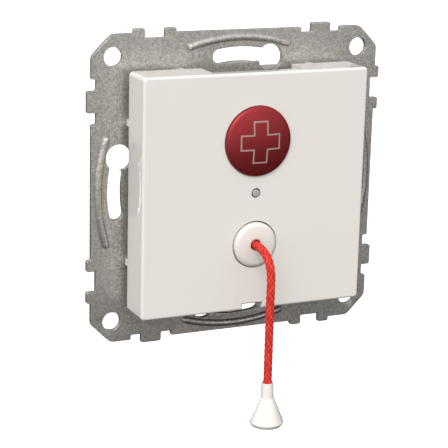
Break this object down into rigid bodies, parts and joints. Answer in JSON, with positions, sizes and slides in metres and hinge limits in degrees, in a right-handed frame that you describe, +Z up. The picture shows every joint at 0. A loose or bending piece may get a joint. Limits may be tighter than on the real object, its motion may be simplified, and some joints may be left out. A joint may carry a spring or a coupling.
{
  "type": "pull cord switch",
  "caption": "Flush-mounted call unit: round domed push button above a hanging pull cord with a bell-shaped handle, on a square steel plate that screws to a wall box.",
  "frame": {"origin": "centre of the mounting plate's rear face, where it lies on the wall or wall box rim", "axes": "+Z up, +X to the right as seen from the room, +Y into the wall; the button and cord face -Y"},
  "size_m": [0.073, 0.0488, 0.0891],
  "materials": {
    "zinc_steel": "zinc-coated sheet steel, matt with a fine spangle",
    "white_plastic": "warm white moulded plastic, glossy",
    "red_plastic": "red moulded plastic, satin gloss",
    "clear_lens": "frosted clear light pipe and lens",
    "red_cord": "braided red cord",
    "grey_plastic": "light grey moulded plastic, matt",
    "natural_plastic": "uncoloured acetal, low sheen",
    "black_plastic": "black moulded plastic, matt",
    "green_board": "green solder mask on glass-fibre board",
    "green_plastic": "green moulded terminal body",
    "spring_steel": "drawn spring steel wire and strip",
    "nickel": "nickel-plated steel"
  },
  "bodies": {
    "unit": {"mounting_plate": "zinc_steel", "centre_plate": "white_plastic", "front_carrier": "grey_plastic", "rear_housing": "grey_plastic", "circuit_board": "green_board", "board_screw_1": "nickel", "board_screw_2": "nickel", "housing_screw_1": "nickel", "housing_screw_2": "nickel", "housing_screw_3": "nickel", "housing_screw_4": "nickel", "terminal_block": "green_plastic", "terminal_clamp_1": "nickel", "terminal_clamp_2": "nickel", "terminal_clamp_3": "nickel", "terminal_clamp_4": "nickel", "terminal_screw_1": "nickel", "terminal_screw_2": "nickel", "terminal_screw_3": "nickel", "terminal_screw_4": "nickel", "call_switch": "black_plastic", "pull_switch": "black_plastic", "lever_pin": "spring_steel", "status_led": "clear_lens", "light_pipe": "clear_lens", "cord_bushing": "white_plastic", "button_spring": "spring_steel", "pull_spring": "spring_steel"},
    "button": {"call_button": "red_plastic", "button_pusher": "natural_plastic"},
    "call_plunger": {"call_switch_plunger": "red_plastic"},
    "slider": {"pull_slider": "natural_plastic"},
    "switch_lever": {"pull_switch_lever": "spring_steel"},
    "pull_plunger": {"pull_switch_plunger": "red_plastic"},
    "cord": {"pull_cord": "red_cord", "cord_knot": "red_cord", "handle_knot": "red_cord", "cord_handle": "white_plastic"}
  },
  "joints": [
    {"name": "call_press", "type": "slide", "parent": "unit", "child": "button", "axis": [0, 1, 0], "range_m": [0, 0.0008], "stiffness_N_per_m": 2000, "springref_m": -0.0005, "deforming": ["button_spring"]},
    {"name": "call_plunger_travel", "type": "slide", "parent": "unit", "child": "call_plunger", "axis": [0, 1, 0], "range_m": [0, 0.0008]},
    {"name": "cord_pull", "type": "slide", "parent": "unit", "child": "slider", "axis": [0, -1, 0], "range_m": [0, 0.002], "stiffness_N_per_m": 1500, "springref_m": -0.001, "deforming": ["pull_spring"]},
    {"name": "lever_turn", "type": "hinge", "parent": "unit", "child": "switch_lever", "pos_m": [0.018, 0.0025, -0.012], "axis": [0, 0, 1], "range_deg": [0, 9.6]},
    {"name": "pull_plunger_travel", "type": "slide", "parent": "unit", "child": "pull_plunger", "axis": [0, -1, 0], "range_m": [0, 0.00084]},
    {"name": "cord_swing", "type": "hinge", "parent": "slider", "child": "cord", "pos_m": [0, -0.0132, -0.012], "axis": [0, 1, 0], "range_deg": [-80, 80]}
  ],
  "couplings": [
    {"joint": "call_plunger_travel", "follows": "call_press", "ratio": 1},
    {"joint": "lever_turn", "follows": "cord_pull", "rad_per_m": 83.333},
    {"joint": "pull_plunger_travel", "follows": "cord_pull", "ratio": 0.41667}
  ]
}
